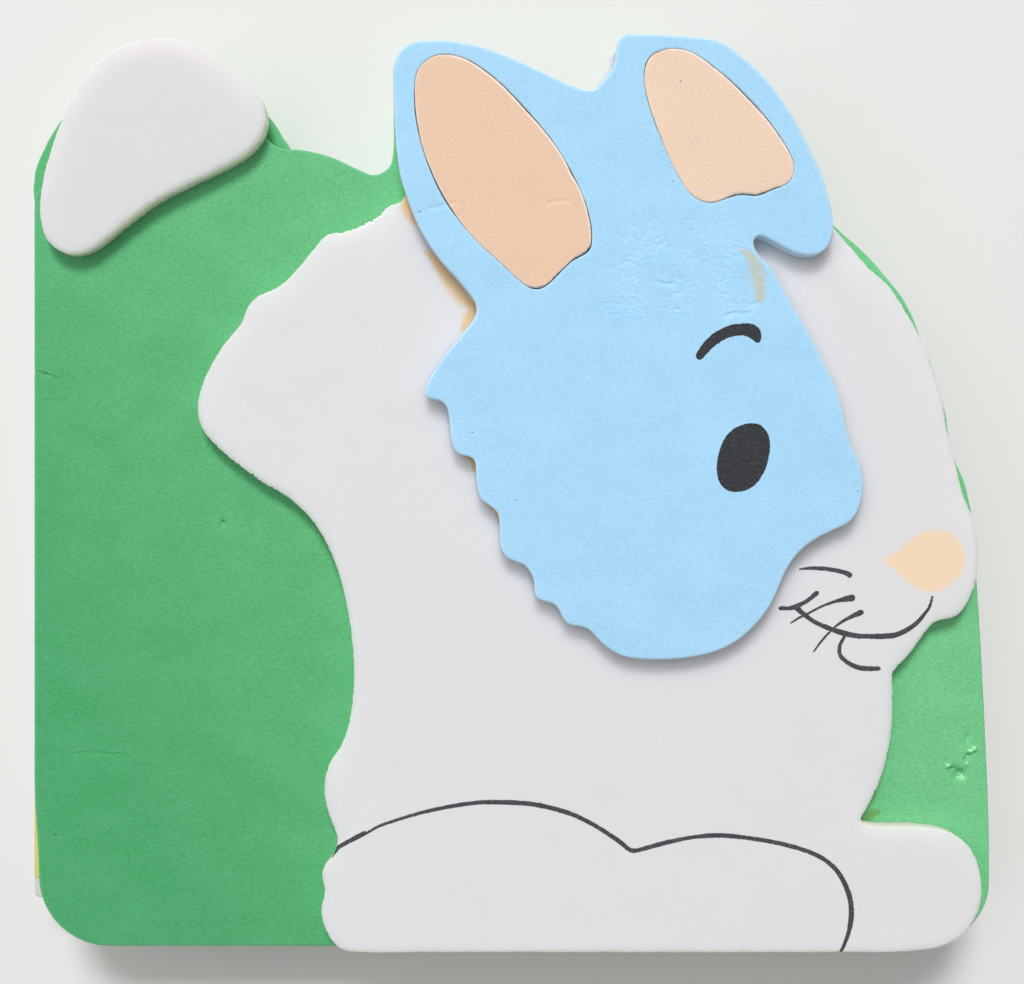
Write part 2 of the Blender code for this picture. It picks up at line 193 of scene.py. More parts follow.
# Dents: centre, half width and half height in pixels, depth in mm; a negative depth is a bulge
COVER_DENTS = [
    (953.5, 769, 4.2, 3, 0.5), (960, 774, 5.6, 4.4, 1.15), (968.4, 755.6, 2.2, 2.6, 0.45),
    (966.2, 759, 2, 2.6, 0.38), (973.6, 749.6, 2.6, 2.2, -0.42), (969.6, 752, 2.4, 2, -0.34),
    (966, 765, 1.8, 1.8, -0.16), (948, 766.6, 2.4, 1.8, -0.34), (946, 761, 2, 1.6, 0.16),
    (968, 738, 3, 6, 0.34), (223, 523, 2.6, 4.2, 0.36), (55.5, 835.5, 2, 1.6, 0.16), (45, 374.5, 2.4, 2, 0.16),
]
HEAD_DENTS = [
    (660, 244, 3, 1.6, 0.07), (671, 305, 1.6, 1.4, 0.1), (707, 241, 2.4, 1.4, 0.06),
    (420, 211.6, 2.4, 1.5, 0.1), (472, 433, 1.6, 1.3, 0.12), (515, 500.5, 1.8, 1.2, 0.12),
]
# The crumpled patch between the ears, in pixels: left, top, right, bottom; its reach, in half sizes to the
# fourth power, and its mean and least wear
CRUMPLE = (596, 216, 766, 322)
CRUMPLE_REACH = 1.2
CRUMPLE_WEAR = 0.62
CRUMPLE_LEAST = 0.15
CRUMPLE_DEPTH = 0.17 * MM
CRUMPLE_GRID = 0.2 * MM

# Small dark specks: centre and half width in pixels
HEAD_SPECKS = [(419.6, 211.4, 1.1), (472, 433, 0.9), (515.5, 500.4, 0.7), (858, 491, 0.8), (673, 181, 0.7)]
RIGHT_LINING_SPECKS = [(680.2, 81.2, 1)]
COVER_SPECKS = [(55.4, 835.4, 1), (223, 521, 1.1)]
# Small painted highlights: pale spots on the lit walls beside the cover's dents
COVER_PAINTED_HIGHLIGHTS = [
    (970.4, 750, 1.9), (973.4, 747.8, 2), (966.3, 762.8, 1.4), (948, 764.8, 2), (959.6, 778.2, 2.2),
    (963, 777.6, 2.3),
]

# Ragged stretches of cut edge: centre and half length in pixels, depth in mm
BODY_NIBBLES = [
    (264, 478, 26, 0.55), (232, 448, 22, 0.4), (355, 222, 40, 0.55), (330, 865, 16, 0.3),
    (940, 640, 14, 0.3), (893, 665, 30, 0.34), (880, 790, 36, 0.24),
]
TAIL_NIBBLES = [(215, 145, 50, 0.46), (262, 108, 26, 0.36), (150, 195, 40, 0.3)]
LEFT_LINING_NIBBLES = [(550, 276, 14, 0.35), (583, 253, 14, 0.3), (533, 288, 8, 0.2)]
RIGHT_LINING_NIBBLES = [(745, 194, 18, 0.25), (774, 189, 12, 0.25)]
# A painted highlight lies along the ear linings' rims within 60 degrees of this way, the side turned to the
# light
HIGHLIGHT_RIM_FACES = np.array((0.75, 0.66))
HIGHLIGHT_RIM_TURN = 0.5
HIGHLIGHT_RIM_INSET = 0.16 * MM
HIGHLIGHT_RIM_WIDTH = 0.3 * MM
HIGHLIGHT_RIM_TAPER = 1.6
# The cut round an ear lining: the widest, its mean and least as shares of that, and where it gapes: centre and
# half length in pixels, mm
LINING_SLACK = 0.1 * MM
SLACK_MEAN = 0.4
SLACK_LEAST = 0.1
LINING_GAPES = [
    (437, 186, 34, 0.11), (500, 106, 40, 0.11), (570, 175, 12, 0.14), (742, 104, 44, 0.17),
    (775, 150, 20, 0.08), (655, 110, 30, 0.05), (752, 193, 24, 0.14), (538, 287, 9, 0.18), (584, 262, 12, 0.12),
]

NOSE_FADE = 0.8 * MM
# Stains, and the painted highlights on the linings' rims: least half width, how ragged they are and how much
# more when broken up, where they fade out in half widths, and greatest strength
STAIN_LEAST = 0.05 * MM
STAIN_RAGGED = 0.2
BROKEN_RAGGED = 0.5
STAIN_FADE = 1.35
STAIN_STRENGTH = 0.9

# Where a sheet stays back from its solid's outline, or below zero reaches out: centre and half length in
# pixels, then mm
LEAF_TUCKS = [(286, 128, 34, 0.5)]
BODY_TUCKS = [
    (970, 926, 38, -0.66), (915, 826, 34, 0.22), (891, 299, 28, -0.92), (917, 344, 28, -0.92),
    (933, 392, 28, -0.92), (606, 66, 14, 0.34),
]
COVER_TUCKS = [(970, 926, 30, 0.3), (905, 308, 26, -0.38), (953, 448, 24, 0.55)]
HEAD_TUCKS = [(624, 39.5, 7, -0.55), (633.5, 36, 7, -0.24), (612, 64, 13, 0.5)]
GREEN_LEAF_TUCKS = [(38.5, 180, 22, -0.6)]
# How far a tuck, a nibble or a gape reaches, in its half lengths
TUCK_REACH = 1.4
GAPE_REACH = 1.3

# Outlines: how far apart their points are, and how much is smoothed
SPACING = 0.28 * MM
WHITE_SPACING = 0.2 * MM
HIDDEN_SPACING = 0.42 * MM
SMOOTHING = 3
WELD = 1e-6

# Cut walls: the rims' radius, the flat band inside them, and how far the wall's middle is drawn in
RIM = 0.45 * MM
HEAD_RIM = 0.4 * MM
COVER_RIM = 0.35 * MM
LEAF_RIM = 0.3 * MM
LINING_RIM = 0.22 * MM
HOLE_RIM = 0.12 * MM
GLUE_RIM = 0.05 * MM
FOOT_RIM = 0.14 * MM
FLAT_BAND = 0.2 * MM
WALL_HOLLOW = 0.03 * MM
RIM_ANGLES = (22.5, 45, 67.5)
WALL_SHARES = (0.25, 0.5, 0.75)
FOOT_SHARE = 0.3
# How much of the cut edge's colour, paler partly as a painted highlight, shows where the rim begins, and at the
# foot
RIM_EDGE = 0.15
FOOT_EDGES = (0.8, 0.3)
# At a sharp tip: the rim's radius against the bend's, its least share, and how fast that share grows
TIP_ROOM = 0.6
TIP_LEAST = 0.2
TIP_GROWTH = 0.12
# How ragged the foot of a wall is against its top, at least
RAGGED_FOOT = 0.35
# How rough a cut is, in mm: most foam, the white foam, and the glue
FUZZ = 0.05
WHITE_FUZZ = 0.18
GLUE_FUZZ = 0.3
# The share of the top face's relief in the rings round it, from the innermost out
RELIEF_SHARE = (1, 1, 0.9, 0.7, 0.5, 0.3)
UPPER_RINGS = len(RELIEF_SHARE)

# Points inside a top face: between the marks, in dents, stains and painted highlights, and across the nose's
# edge
OPEN_GRID = 2.5 * MM
DENT_GRID = 0.09 * MM
DENT_REACH = 2.6
DENT_POINTS = 8
STAIN_GRID = 0.22 * MM
NOSE_ROWS = (-0.45, -0.3, -0.15, 0, 0.15, 0.3, 0.45)
# Rows of points beside a crease, in its widths
CREASE_ROWS = (-5, -3.4, -2.2, -1.4, -0.7, 0, 0.7, 1.4, 2.2, 3.4, 5)
# How much wider a crease's right side is, going along it
GENTLE_SIDE = 2.2
# A crease's mean depth, the low ridge beside it, as shares of its depth, and how many widths away that is
CREASE_MEAN = 0.75
CREASE_RIDGE = 0.2
RIDGE_AWAY = 2
# How far apart a line's points are
CREASE_STEP = 0.25 * MM
STAIN_STEP = 0.3 * MM
BLOT_STEP = 0.11 * MM
STROKE_STEP = 0.12 * MM
# Steps between two points of a smooth curve, and angles round a stroke's end
SPLINE_STEPS = 12
END_TURNS = 7
# Specks: corners, how uneven they are and how often round, and stretch
SPECK_SIDES = 8
SPECK_UNEVEN = 0.35
SPECK_WAVE = 3.1
SPECK_WIDE, SPECK_HIGH = 1.3, 0.8

# Noise in layers, each with its height, its size in mm and its seed
BLOT_FUZZ = ((0.05, 0.42, 3), (0.08, 0.19, 7))
STROKE_FUZZ = ((0.035, 0.38, 5), (0.08, 0.17, 9))
STROKE_WOBBLE = ((0.1, 1.3, 11),)
CREASE_FADE = ((0.25, 1.5, 21),)
CRUMPLE_FOLDS = ((2, 0.8, 31),)
CRUMPLE_FINE = ((0.6, 0.36, 37),)
CRUMPLE_PATCHES = ((1.5, 3.6, 41),)
STAIN_EDGE = ((1, 1.1, 51), (0.6, 0.45, 53))
STAIN_THIN = ((1.5, 0.7, 57),)
NIBBLE_TEETH = ((1, 0.62, 61), (0.6, 0.3, 67))
CUT_JITTER = ((1, 0.7, 71), (0.7, 0.26, 73))
# The noise in the cut round an ear lining, and each lining's seed
SLACK_HEIGHT, SLACK_SIZE = 1.5, 8
LEFT_SEED, RIGHT_SEED = 81, 87
# How much folds count in the crumpled patch, and the stretch of folds and fine creases
FOLD_SHARE = 0.6
FOLD_STRETCH = np.array((0.45, 1))
FINE_STRETCH = np.array((0.6, 1))


def pixel(level):
    """Size of one pixel on a level plane."""
    return (CAMERA_Z - level) / FOCAL_PIXELS


def seen(points, level):
    """Pixels of the photograph's frame, as places on a level plane."""
    points = np.asarray(points, float)
    x = VIEW_X + (points[:, 0] - IMAGE_WIDTH / 2) * pixel(level)
    y = VIEW_Y + (IMAGE_HEIGHT / 2 - points[:, 1]) * pixel(level)
    return np.stack([x, y], axis=1)


def nearness(points, mark, level, reach):
    """One near a mark's centre, falling to nothing at reach times its half length."""
    x, y, half = mark[:3]
    away = np.hypot(*(points - seen([(x, y)], level)[0]).T) / (half * pixel(level))
    return np.clip(reach - away, 0.0, 1.0)


def section(node, level):
    """Closed outlines of a node where a level plane cuts it, the longest first."""
    bm = bmesh.new()
    bm.from_mesh(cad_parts[node].data)
    bmesh.ops.remove_doubles(bm, verts=bm.verts[:], dist=WELD)
    everything = bm.verts[:] + bm.edges[:] + bm.faces[:]
    cut = bmesh.ops.bisect_plane(bm, geom=everything, plane_co=(0, 0, level), plane_no=(0, 0, 1))
    bm.verts.index_update()
    links = {}
    place = {}
    for edge in cut["geom_cut"]:
        if isinstance(edge, bmesh.types.BMEdge):
            a, b = edge.verts
            for here, there in ((a, b), (b, a)):
                links.setdefault(here.index, []).append(there.index)
                place[here.index] = here.co.xy[:]
    loops = []
    while links:
        here = min(links)
        loop = []
        while here in links:
            loop.append(place[here])
            here = next((n for n in sorted(links.pop(here)) if n in links), None)
        loops.append(np.array(loop))
    bm.free()
    return sorted(loops, key=lambda loop: -np.abs(np.roll(loop, -1, 0) - loop).sum())


def outlines(node):
    """Closed outlines of a node whose walls are upright."""
    low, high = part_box(node)
    return section(node, low.z + CUT_SHARE * (high.z - low.z))


def doubled_area(loop):
    """Twice a loop's area, above zero where it runs anticlockwise."""
    ahead = np.roll(loop, -1, 0)
    return float((loop[:, 0] * ahead[:, 1] - loop[:, 1] * ahead[:, 0]).sum())


def run_length(path):
    """How far along a line each of its points lies."""
    return np.concatenate([[0.0], np.cumsum(np.hypot(*np.diff(path[:, :2], axis=0).T))])


def directions(path):
    """Unit directions along a line and to its left."""
    along = np.gradient(path[:, :2], axis=0)
    along /= np.maximum(np.hypot(*along.T), 1e-12)[:, None]
    return along, np.stack([-along[:, 1], along[:, 0]], axis=1)


def even(loop, spacing):
    """The closed loop again with evenly spaced points."""
    closed = np.vstack([loop, loop[:1]])
    along = run_length(closed)
    count = max(8, round(along[-1] / spacing))
    at = np.arange(count) * along[-1] / count
    return np.stack([np.interp(at, along, closed[:, i]) for i in (0, 1)], axis=1)


def smoothed(values, passes):
    """Values round a loop, averaged with their neighbours."""
    for _ in range(passes):
        values = (np.roll(values, 1, 0) + 2 * values + np.roll(values, -1, 0)) / 4
    return values


def outward(loop):
    """Unit directions that point out of the foam, on an anticlockwise outline or a clockwise hole."""
    along = np.roll(loop, -1, 0) - np.roll(loop, 1, 0)
    along /= np.hypot(*along.T)[:, None]
    return np.stack([along[:, 1], -along[:, 0]], axis=1)


def rim_share(loop, radius, spacing):
    """How much of the rim's radius fits at each point: less at sharp tips."""
    before = loop - np.roll(loop, 2, 0)
    after = np.roll(loop, -2, 0) - loop
    cross = before[:, 0] * after[:, 1] - before[:, 1] * after[:, 0]
    turn = np.arctan2(cross, (before * after).sum(1))
    bend = np.maximum(smoothed(turn, 2), 1e-6) / (2 * spacing)
    share = np.clip(TIP_ROOM / bend / radius, TIP_LEAST, 1.0)
    for _ in range(SMOOTHING):
        share = np.minimum(share, np.minimum(np.roll(share, 1), np.roll(share, -1)) + TIP_GROWTH)
    return smoothed(share, SMOOTHING)


def rough(points, size, seed):
    """Smooth noise from -1 to 1 at places in the plane or in space."""
    flat = np.atleast_2d(points) / size
    z = flat[:, 2] if flat.shape[1] > 2 else np.zeros(len(flat))
    return np.array([noise.noise(Vector((x, y, w + seed))) for x, y, w in zip(flat[:, 0], flat[:, 1], z)])


def layered(points, layers, ragged=False):
    """Layers of noise added up; ragged noise never falls below zero."""
    found = np.zeros(len(points))
    for height, size, seed in layers:
        wave = rough(points, size * MM, seed)
        found = found + height * (np.abs(wave) if ragged else wave)
    return found


def anticlockwise(loop):
    """The loop, turned round if it runs clockwise."""
    return loop if doubled_area(loop) > 0 else loop[::-1]


def spline(points, spacing, closed=False):
    """A smooth curve through the points, evenly spaced; further columns, such as a width, go along."""
    points = np.asarray(points, float)
    if closed:
        padded = np.vstack([points[-1:], points, points[:2]])
    else:
        padded = np.vstack([2 * points[0] - points[1], points, 2 * points[-1] - points[-2]])
    fine = []
    share = np.linspace(0.0, 1.0, SPLINE_STEPS, endpoint=False)[:, None]
    for a, b, c, d in zip(padded, padded[1:], padded[2:], padded[3:]):
        fine.append(
            0.5 * (2 * b + (c - a) * share + (2 * a - 5 * b + 4 * c - d) * share**2
                   + (3 * b - a - 3 * c + d) * share**3)
        )
    fine = np.vstack(fine + ([] if closed else [points[-1:]]))
    if closed:
        fine = np.vstack([fine, fine[:1]])
    along = run_length(fine)
    at = np.linspace(0.0, along[-1], max(2, round(along[-1] / spacing)) + 1)
    if closed:
        at = at[:-1]
    return np.stack([np.interp(at, along, fine[:, i]) for i in range(fine.shape[1])], axis=1)


def on_sheet(points, level):
    """Pixel points with an optional width, as metres on the sheet."""
    points = np.asarray(points, float)
    placed = seen(points[:, :2], level)
    return np.hstack([placed, points[:, 2:] * pixel(level)])


def fuzzy(loop, layers):
    """An outline with the slightly fuzzy edge of ink on foam."""
    loop = anticlockwise(loop)
    return loop + outward(loop) * (layered(loop, layers) * MM)[:, None]


def blot(points, level):
    """A printed patch's outline."""
    return fuzzy(spline(on_sheet(points, level), BLOT_STEP, closed=True), BLOT_FUZZ)


def stroke(points, level):
    """The outline of one pen stroke with round ends."""
    path = spline(on_sheet(points, level), STROKE_STEP)
    along, side = directions(path)
    half = path[:, 2:] / 2
    wobble = 1.0 + layered(path[:, :2], STROKE_WOBBLE)[:, None]
    left = path[:, :2] + side * half * wobble
    right = path[:, :2] - side * half * wobble
    turns = np.linspace(0.0, math.pi, END_TURNS)[1:-1]
    end = [path[-1, :2] + half[-1] * (side[-1] * math.cos(a) + along[-1] * math.sin(a)) for a in turns]
    start = [path[0, :2] - half[0] * (side[0] * math.cos(a) + along[0] * math.sin(a)) for a in turns]
    return fuzzy(np.vstack([left, end, right[::-1], start]), STROKE_FUZZ)


def speck(mark, level):
    """A small uneven spot."""
    x, y, half = mark
    corners = np.arange(SPECK_SIDES)
    turns = corners * math.tau / SPECK_SIDES
    reach = half * (1.0 + SPECK_UNEVEN * np.sin(SPECK_WAVE * corners + x))
    points = [x + SPECK_WIDE * reach * np.cos(turns), y + SPECK_HIGH * reach * np.sin(turns)]
    return anticlockwise(seen(np.stack(points, axis=1), level))


def inside(points, loop):
    """Which points lie in a closed loop."""
    found = np.zeros(len(points), bool)
    near = ((points >= loop.min(0)) & (points <= loop.max(0))).all(1)
    order = np.argsort(points[near, 1], kind="stable")
    x, y = points[near][order].T
    odd = np.zeros(len(x), bool)
    for (ax, ay), (bx, by) in zip(loop, np.roll(loop, -1, 0)):
        if ay != by:
            low, high = np.searchsorted(y, (min(ay, by), max(ay, by)))
            span = slice(low, high)
            odd[span] ^= x[span] < (bx - ax) * (y[span] - ay) / (by - ay) + ax
    found[np.flatnonzero(near)[order]] = odd
    return found


def distance(points, path):
    """Each point's distance from a line, the line's width there, and whether the point is on its right."""
    best = np.full(len(points), 1e9)
    width = np.zeros(len(points))
    right = np.zeros(len(points), bool)
    for a, b in zip(path, path[1:]):
        run = b[:2] - a[:2]
        share = np.clip(((points - a[:2]) @ run) / max(run @ run, 1e-18), 0.0, 1.0)
        off = points - a[:2] - share[:, None] * run
        away = np.hypot(*off.T)
        nearer = away < best
        best = np.where(nearer, away, best)
        right = np.where(nearer, run[0] * off[:, 1] < run[1] * off[:, 0], right)
        if path.shape[1] > 2:
            width = np.where(nearer, a[2] + share * (b[2] - a[2]), width)
    return best, width, right


def beside(path, offsets):
    """Rows of points along a line, at the given distances to its left."""
    _, side = directions(path)
    return np.vstack([path[:, :2] + side * offset for offset in offsets])


def grid(low, high, spacing):
    """Staggered points that fill a rectangle."""
    x, y = np.meshgrid(*(np.arange(a, b, spacing) for a, b in zip(low, high)))
    x = x + np.where(np.arange(len(y)) % 2, spacing / 2, 0.0)[:, None]
    return np.stack([x.ravel(), y.ravel()], axis=1)


class Marks:
    """What lies on one sheet's top face: relief, coloured fields, and crisp ink; broken frays the stains. Ink
    and stains also hold painted highlights.
    """

    def __init__(
        self, level, creases=(), dents=(), crumple=None, stains_and_highlights=(), broken=0.1, nose=None, ink_and_highlight=(), specks=()
    ):
        self.level = level
        self.broken = broken
        self.creases = [(spline(seen(p, level), CREASE_STEP), w * MM, d * MM) for p, w, d in creases]
        self.dents = dents
        self.crumple = None
        if crumple:
            corners = seen([crumple[:2], crumple[2:]], level)
            self.crumple = (corners.min(0), corners.max(0))
        self.stains_and_highlights = [spline(on_sheet(p, level), STAIN_STEP) for p in stains_and_highlights]
        self.nose = None
        if nose:
            edge = blot(nose, level)
            self.nose = np.vstack([edge, edge[:1]])
        self.ink_and_highlight = list(ink_and_highlight)
        self.specks = [speck(s, level) for s in specks]

    def dent_place(self, dent):
        """A dent's centre and its half width and half height, in metres."""
        return seen([dent[:2]], self.level)[0], np.array(dent[2:4]) * pixel(self.level)

    def extra_points(self):
        """Places where the top face needs more points."""
        found = []
        for path, width, _ in self.creases:
            found.append(beside(path, [k * width for k in CREASE_ROWS]))
        for dent in self.dents:
            centre, half = self.dent_place(dent)
            reach = DENT_REACH * half
            found.append(grid(centre - reach, centre + reach, max(DENT_GRID, reach.min() / DENT_POINTS)))
        if self.crumple:
            found.append(grid(*self.crumple, CRUMPLE_GRID))
        for path in self.stains_and_highlights:
            reach = path[:, 2].max()
            found.append(grid(path[:, :2].min(0) - reach, path[:, :2].max(0) + reach, STAIN_GRID))
        if self.nose is not None:
            found.append(beside(self.nose, [k * MM for k in NOSE_ROWS]))
        return np.vstack(found) if found else np.zeros((0, 2))

    def relief(self, points):
        """How far the top face rises or sinks at each point."""
        rise = np.zeros(len(points))
        for path, width, depth in self.creases:
            away, _, right = distance(points, path)
            fade = CREASE_MEAN + layered(points, CREASE_FADE)
            reach = np.where(right, GENTLE_SIDE * width, width)
            rise -= depth * fade * np.exp(-((away / reach) ** 2))
            rise += CREASE_RIDGE * depth * np.exp(-(((away - RIDGE_AWAY * width) / width) ** 2)) * ~right
        for dent in self.dents:
            centre, half = self.dent_place(dent)
            rise -= dent[4] * MM * np.exp(-(((points - centre) / half) ** 2).sum(1))
        worn = self.worn(points)
        where = worn > 0
        if where.any():
            folds = 1.0 - layered(points[where] * FOLD_STRETCH, CRUMPLE_FOLDS, ragged=True)
            fine = layered(points[where] * FINE_STRETCH, CRUMPLE_FINE)
            rise[where] += CRUMPLE_DEPTH * worn[where] * (FOLD_SHARE * folds + fine - 1.0)
        # Nothing rises past the top of the whole book
        return np.minimum(rise, HEAD_TOP - self.level)

    def worn(self, points):
        """How crumpled the foam's skin is at each point."""
        found = np.zeros(len(points))
        if self.crumple:
            low, high = self.crumple
            middle, half = (low + high) / 2, (high - low) / 2
            inner = np.clip(CRUMPLE_REACH - (((points - middle) / half) ** 4).sum(1), 0.0, 1.0)
            where = inner > 0
            if where.any():
                wear = CRUMPLE_WEAR + layered(points[where], CRUMPLE_PATCHES)
                found[where] = inner[where] * np.clip(wear, CRUMPLE_LEAST, 1.0)
        return found

    def stain_and_highlight(self, points):
        """Strength of the stains, and of painted highlights, at each point."""
        found = np.zeros(len(points))
        for path in self.stains_and_highlights:
            away, width, _ = distance(points, path)
            near = away < 3 * path[:, 2].max()
            if near.any():
                ragged = STAIN_RAGGED + BROKEN_RAGGED * self.broken
                uneven = 1.0 + ragged * layered(points[near], STAIN_EDGE)
                half = np.maximum(width[near] / 2, STAIN_LEAST) * uneven
                fall = np.clip(STAIN_FADE - away[near] / half, 0.0, STAIN_STRENGTH)
                thin = 1.0 + self.broken * (layered(points[near], STAIN_THIN) - 0.1)
                found[near] = np.maximum(found[near], fall * np.clip(thin, 0.0, 1.1))
        return found

    def nose_field(self, points):
        """One inside the nose, falling to nothing across its soft edge."""
        found = np.zeros(len(points))
        if self.nose is None:
            return found
        low, high = self.nose.min(0) - MM, self.nose.max(0) + MM
        near = ((points > low) & (points < high)).all(1)
        away, _, _ = distance(points[near], self.nose)
        signed = np.where(inside(points[near], self.nose), away, -away)
        found[near] = np.clip(0.5 + signed / NOSE_FADE, 0.0, 1.0)
        return found

    def fields(self, points):
        """The coloured fields at each point: stain and painted highlight, nose and wear."""
        return zip(self.stain_and_highlight(points), self.nose_field(points), self.worn(points))


def between(points, rings):
    """Which points lie in the first ring and outside the others."""
    found = inside(points, rings[0])
    for hole in rings[1:]:
        found &= ~inside(points, hole)
    return found


def flat_face(rings, marks):
    """Triangles that fill the first ring but for the others, which are holes.

    Returns the points, the triangles, each triangle's kind, which is 0 foam, 1 ink, or on the cover a painted
    highlight, 2 speck, and which of the rings' points each point was.
    """
    # In the triangulator's own precision, so that slivers fall on the right side
    rings = [ring.astype(np.float32).astype(float) for ring in rings]
    points = []
    edges = []
    for ring in rings:
        ahead = np.roll(np.arange(len(ring)), -1)
        edges += [(len(points) + i, len(points) + int(j)) for i, j in enumerate(ahead)]
        points += [Vector(p) for p in ring]
    if marks:
        for loop in marks.ink_and_highlight + marks.specks:
            kept = between(loop, rings)
            order = len(points) + np.cumsum(kept) - 1
            pairs = zip(order, np.roll(order, -1), kept & np.roll(kept, -1))
            edges += [(int(a), int(b)) for a, b, whole in pairs if whole]
            points += [Vector(p) for p in loop[kept]]
        low, high = rings[0].min(0) + OPEN_GRID / 2, rings[0].max(0)
        extra = np.vstack([marks.extra_points(), grid(low, high, OPEN_GRID)])
        points += [Vector(p) for p in extra[between(extra, rings)]]
    made = geometry.delaunay_2d_cdt(points, edges, [], 0, 0.0)
    places = np.array([p[:] for p in made[0]])
    triangles = np.array(made[2])
    centres = places[triangles].mean(1)
    keep = between(centres, rings)
    triangles, centres = triangles[keep], centres[keep]
    kinds = np.zeros(len(triangles), int)
    if marks:
        for loop in marks.ink_and_highlight:
            kinds[inside(centres, loop)] = 1
        for loop in marks.specks:
            kinds[inside(centres, loop)] = 2
    return places, triangles, kinds, made[3]


def wall_rings(bottom, top, rim, foot):
    """Rings down a cut wall, from the top face's flat part to the foot: inset, level and share of cut edge."""
    arc = [math.radians(a) for a in RIM_ANGLES]
    rings = [(rim + FLAT_BAND, top, 0.0), (rim, top, RIM_EDGE)]
    rings += [(rim * (1 - math.sin(a)), top - rim * (1 - math.cos(a)), RIM_EDGE + a / 2) for a in arc]
    wall_top, wall_foot = top - rim, bottom + foot
    rings += [(0.0, wall_top, 1.0)]
    rings += [(WALL_HOLLOW, wall_top + (wall_foot - wall_top) * k, 1.0) for k in WALL_SHARES]
    turn = foot * FOOT_SHARE
    return rings + [(0.0, wall_foot, 1.0), (turn, bottom + turn, FOOT_EDGES[0]), (foot, bottom, FOOT_EDGES[1])]


def set_back(loop, places, level, teeth=1.0):
    """How far each point of an outline stays back near the given places; teeth make it ragged."""
    found = np.zeros(len(loop))
    for place in places:
        found += place[3] * MM * teeth * nearness(loop, place, level, TUCK_REACH)
    return found


def in_scene(name, data):
    """A new object of the scene."""
    made = bpy.data.objects.new(name, data)
    bpy.context.scene.collection.objects.link(made)
    return made


class Sheet:
    """The points and faces of one foam sheet, with the kind of each face and the fields at each point."""

    def __init__(self, bottom, top, marks):
        self.bottom = bottom
        self.top = top
        self.marks = marks
        self.verts = []
        self.fields = []
        self.faces = []
        self.kinds = []
        # Each wall's first and last ring: the number of its first point, and its points
        self.upper = []
        self.lower = []

    def add_wall(self, loop, rings, share, tuck, nibble, fuzz):
        """The cut wall along one outline, as rings from the top face's flat part down to the foot."""
        count = len(loop)
        normal = outward(loop)
        start = len(self.verts)
        for number, (inset, level, edge) in enumerate(rings):
            here = np.column_stack([loop, np.full(count, level)])
            spread = np.clip(inset * share, 0.0, None)
            wear = 0.0 if number < 2 else fuzz * MM
            jitter = layered(here, CUT_JITTER, ragged=True)
            height = max((level - self.bottom) / (self.top - self.bottom), RAGGED_FOOT)
            ring = loop - normal * (spread + wear * jitter + tuck + nibble * height)[:, None]
            z = np.full(count, level)
            found = [(0.0, 0.0, 0.0)] * count
            if self.marks and number < UPPER_RINGS:
                z = z + self.marks.relief(ring) * RELIEF_SHARE[number]
                found = self.marks.fields(ring)
            if number == 0:
                self.upper.append((start, ring))
            if number == len(rings) - 1:
                self.lower.append((len(self.verts), ring))
            self.verts += [(x, y, h) for (x, y), h in zip(ring, z)]
            self.fields += [(edge, *values) for values in found]
        made = []
        for a in range(start, start + (len(rings) - 1) * count, count):
            b = a + count
            made += [(a + i, b + i, b + (i + 1) % count, a + (i + 1) % count) for i in range(count)]
        kinds = np.zeros(len(made), int)
        if self.marks and self.marks.ink_and_highlight:
            centres = np.array([np.mean([self.verts[v][:2] for v in face], axis=0) for face in made])
            upper = np.arange(len(made)) < UPPER_RINGS * count
            for ink_and_highlight in self.marks.ink_and_highlight:
                kinds[upper & inside(centres, ink_and_highlight)] = 1
        self.faces += made
        self.kinds += list(kinds)

    def close(self, ends, level, marks=None, facing_down=False):
        """Close the sheet across the walls' first or last rings."""
        ids = [start + i for start, ring in ends for i in range(len(ring))]
        places, triangles, kinds, origins = flat_face([ring for _, ring in ends], marks)
        relief = marks.relief(places) if marks else np.zeros(len(places))
        found = list(marks.fields(places)) if marks else [(0.0, 0.0, 0.0)] * len(places)
        target = {}
        for i in sorted(set(triangles.ravel().tolist())):
            known = [ids[o] for o in origins[i] if o < len(ids)]
            if known:
                target[i] = known[0]
            else:
                target[i] = len(self.verts)
                self.verts.append((*places[i], level + relief[i]))
                self.fields.append((0.0, *found[i]))
        for triangle, kind in zip(triangles.tolist(), kinds.tolist()):
            corners = [target[v] for v in triangle]
            if len(set(corners)) == 3:
                self.faces.append(corners[::-1] if facing_down else corners)
                self.kinds.append(kind)

    def piece(self, name, materials):
        """The sheet as an object of the scene."""
        mesh = bpy.data.meshes.new(name)
        mesh.from_pydata(self.verts, [], self.faces)
        for material in materials:
            mesh.materials.append(material)
        mesh.polygons.foreach_set("material_index", np.array(self.kinds, np.int32))
        mesh.polygons.foreach_set("use_smooth", np.ones(len(self.faces), bool))
        for column, field in enumerate(("edge", "stain_and_highlight", "nose", "worn")):
            attribute = mesh.attributes.new(field, "FLOAT", "POINT")
            attribute.data.foreach_set("value", np.array([f[column] for f in self.fields], np.float32))
        mesh.update()
        return in_scene(name, mesh)


